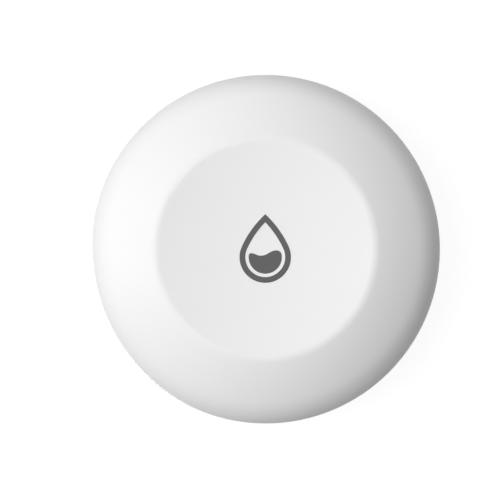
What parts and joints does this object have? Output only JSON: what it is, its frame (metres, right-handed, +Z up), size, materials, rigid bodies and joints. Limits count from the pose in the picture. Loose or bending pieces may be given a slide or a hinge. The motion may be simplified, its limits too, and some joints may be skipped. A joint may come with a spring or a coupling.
{
  "type": "water leak sensor",
  "caption": "Round floor-standing water leak sensor with a domed white shell, a dished push-button top with a drop mark, metal probes underneath and a twist-off battery cover.",
  "frame": {"origin": "middle of the face that the rubber feet rest on", "axes": "+Z up through the button, +Y towards the tip of the drop mark, the two probes along X"},
  "size_m": [0.05, 0.05, 0.015],
  "materials": {
    "shell_white": "satin white moulded plastic",
    "case_white": "fine matt white moulded plastic",
    "mark_grey": "flat grey print",
    "foot_rubber": "pale grey soft rubber",
    "seal_rubber": "smooth black silicone rubber",
    "pad_foam": "closed-cell foam",
    "screw_steel": "zinc-plated steel",
    "probe_steel": "polished stainless steel",
    "brass": "plain brass",
    "board": "green lacquered glass-fibre laminate",
    "carrier": "blue lacquered glass-fibre laminate",
    "shield_tin": "tinned sheet steel",
    "chip_black": "moulded black resin",
    "copper": "gold-washed copper",
    "ceramic_tan": "tan ceramic",
    "lens": "clear resin",
    "switch_black": "black moulded nylon",
    "spring_steel": "nickel-plated spring steel",
    "holder_black": "black moulded nylon",
    "cell_steel": "nickel-plated steel",
    "cell_seal": "natural polypropylene",
    "cell_fill": "pressed powder"
  },
  "bodies": {
    "housing": {"top_shell": "shell_white", "bottom_case": "case_white", "case_gasket": "seal_rubber", "case_screws": "screw_steel", "rubber_feet": "foot_rubber", "probe_right": "probe_steel", "probe_left": "probe_steel", "probe_seals": "seal_rubber", "probe_standoffs": "brass", "circuit_board": "board", "radio_module": "carrier", "radio_shield": "shield_tin", "radio_chip": "chip_black", "antenna": "copper", "crystal": "shield_tin", "sensing_chip": "chip_black", "indicator_led": "lens", "capacitors": "ceramic_tan", "resistors": "chip_black", "switch_body": "switch_black", "switch_cover": "spring_steel", "snap_dome": "spring_steel", "cell_holder": "holder_black", "positive_contact": "copper", "negative_contact": "copper"},
    "press_face": {"press_face": "shell_white", "drop_mark": "mark_grey"},
    "switch_plunger": {"switch_plunger": "switch_black"},
    "coin_cell": {"cell_can": "cell_steel", "cell_cap": "cell_steel", "cell_gasket": "cell_seal", "cell_pellet": "cell_fill"},
    "battery_cover": {"battery_cover": "case_white", "cover_seal": "seal_rubber", "cover_pad": "pad_foam"}
  },
  "joints": [
    {"name": "button_press", "type": "slide", "parent": "housing", "child": "press_face", "axis": [0, 0, -1], "range_m": [0, 0.00032], "stiffness_N_per_m": 6000},
    {"name": "switch_press", "type": "slide", "parent": "housing", "child": "switch_plunger", "axis": [0, 0, -1], "range_m": [0, 0.00025], "stiffness_N_per_m": 0.0047, "springref_m": -0.01, "deforming": ["snap_dome"]},
    {"name": "cell_slide", "type": "slide", "parent": "housing", "child": "coin_cell", "axis": [0, 0, -1], "range_m": [0, 0.006]},
    {"name": "cover_turn", "type": "hinge", "parent": "coin_cell", "child": "battery_cover", "pos_m": [0, 0, 0.001], "axis": [0, 0, -1], "range_deg": [0, 180]}
  ],
  "couplings": [
    {"joint": "switch_press", "follows": "button_press", "ratio": 0.78125},
    {"joint": "cell_slide", "follows": "cover_turn", "m_per_rad": 0.0019099}
  ]
}
